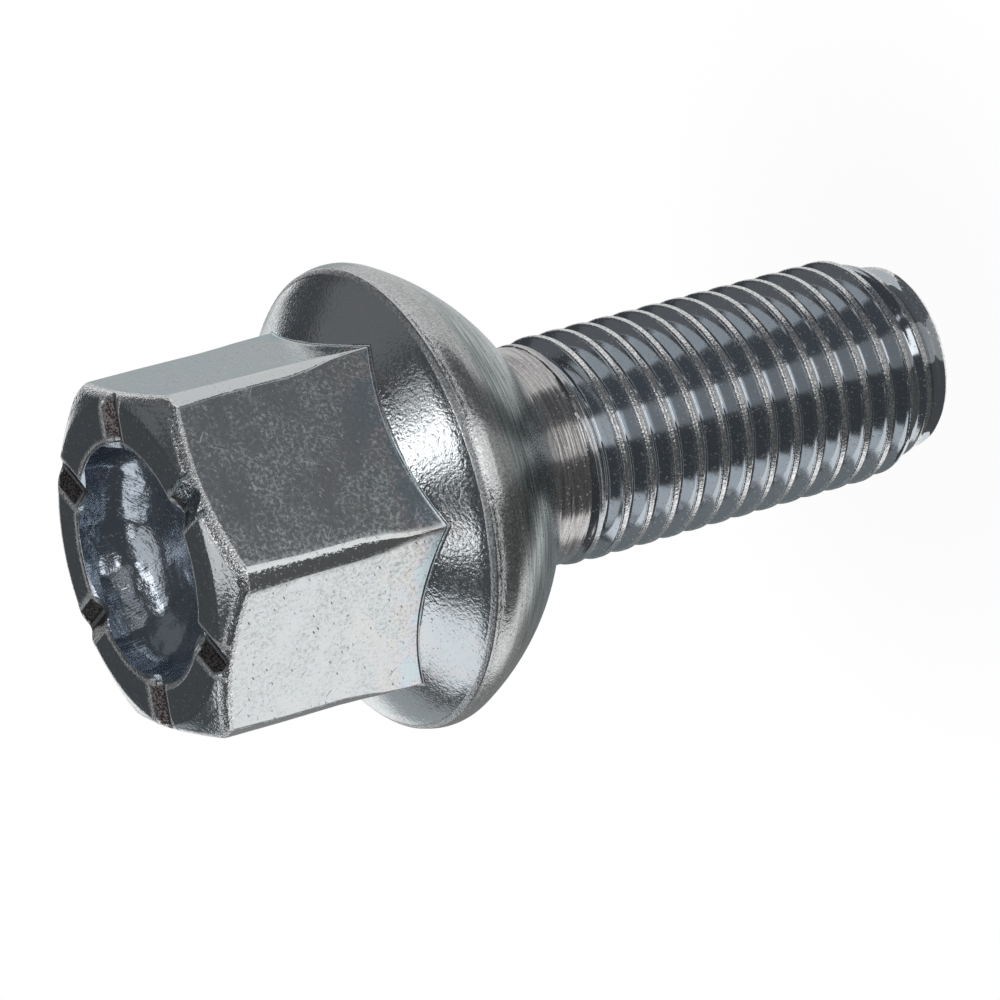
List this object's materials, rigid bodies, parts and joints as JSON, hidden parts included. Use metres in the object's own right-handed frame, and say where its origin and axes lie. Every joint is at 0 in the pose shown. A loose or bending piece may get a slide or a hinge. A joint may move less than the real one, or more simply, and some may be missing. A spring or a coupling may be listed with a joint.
{
  "type": "wheel bolt",
  "caption": "Wheel bolt with a hollow, notched hexagon head, a collar with a ball seat and a threaded shank.",
  "frame": {"origin": "centre of the shank's end face", "axes": "+Z along the bolt's axis from the shank's end to the head, +X through a corner of the hexagon"},
  "size_m": [0.0238, 0.0238, 0.046],
  "materials": {
    "zinc_plated_steel": "bright bluish zinc plating over headed and rolled steel"
  },
  "bodies": {
    "root": {"wheel_bolt": "zinc_plated_steel"}
  },
  "joints": []
}
